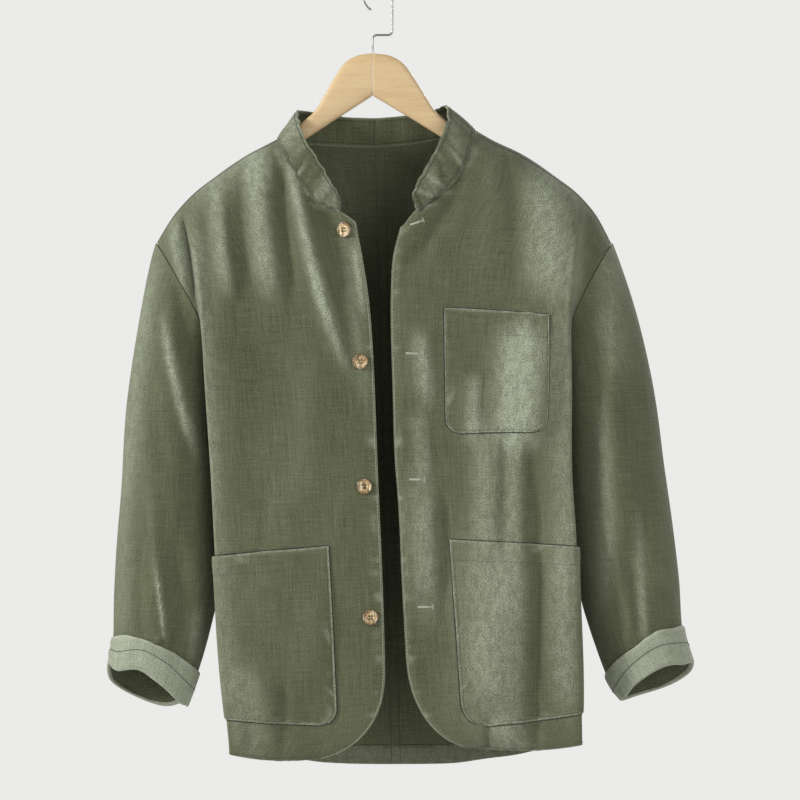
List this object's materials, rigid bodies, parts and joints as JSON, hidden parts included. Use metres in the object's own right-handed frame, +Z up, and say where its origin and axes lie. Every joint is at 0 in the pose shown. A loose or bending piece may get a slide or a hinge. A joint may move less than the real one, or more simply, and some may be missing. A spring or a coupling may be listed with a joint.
{
  "type": "shirt jacket on a clothes hanger",
  "caption": "Stand-collar linen shirt jacket, open at the front, with patch pockets and turned-up cuffs, on a wooden clothes hanger with a wire hook.",
  "frame": {"origin": "inside top of the wire hook, where a rail carries it", "axes": "+X to the wearer's left across the front, +Y to the back, +Z up"},
  "size_m": [0.6744, 0.1339, 0.9015],
  "materials": {
    "cloth": "washed slubby linen and cotton, olive green, matt",
    "cuff_cloth": "paler inside face of the same cloth, turned up",
    "button": "mottled brown and cream horn look",
    "wood": "pale satin beech",
    "wire": "bright drawn wire"
  },
  "bodies": {
    "root": {"front_right": "cloth", "front_left": "cloth", "back_right": "cloth", "back_left": "cloth", "sleeve_right": "cloth", "sleeve_left": "cloth", "cuff_right": "cuff_cloth", "cuff_left": "cuff_cloth", "collar_right": "cloth", "collar_left": "cloth", "chest_pocket": "cloth", "pocket_right": "cloth", "pocket_left": "cloth", "button_1": "button", "button_2": "button", "button_3": "button", "button_4": "button", "hanger_right": "wood", "hanger_left": "wood", "hook": "wire"}
  },
  "joints": []
}
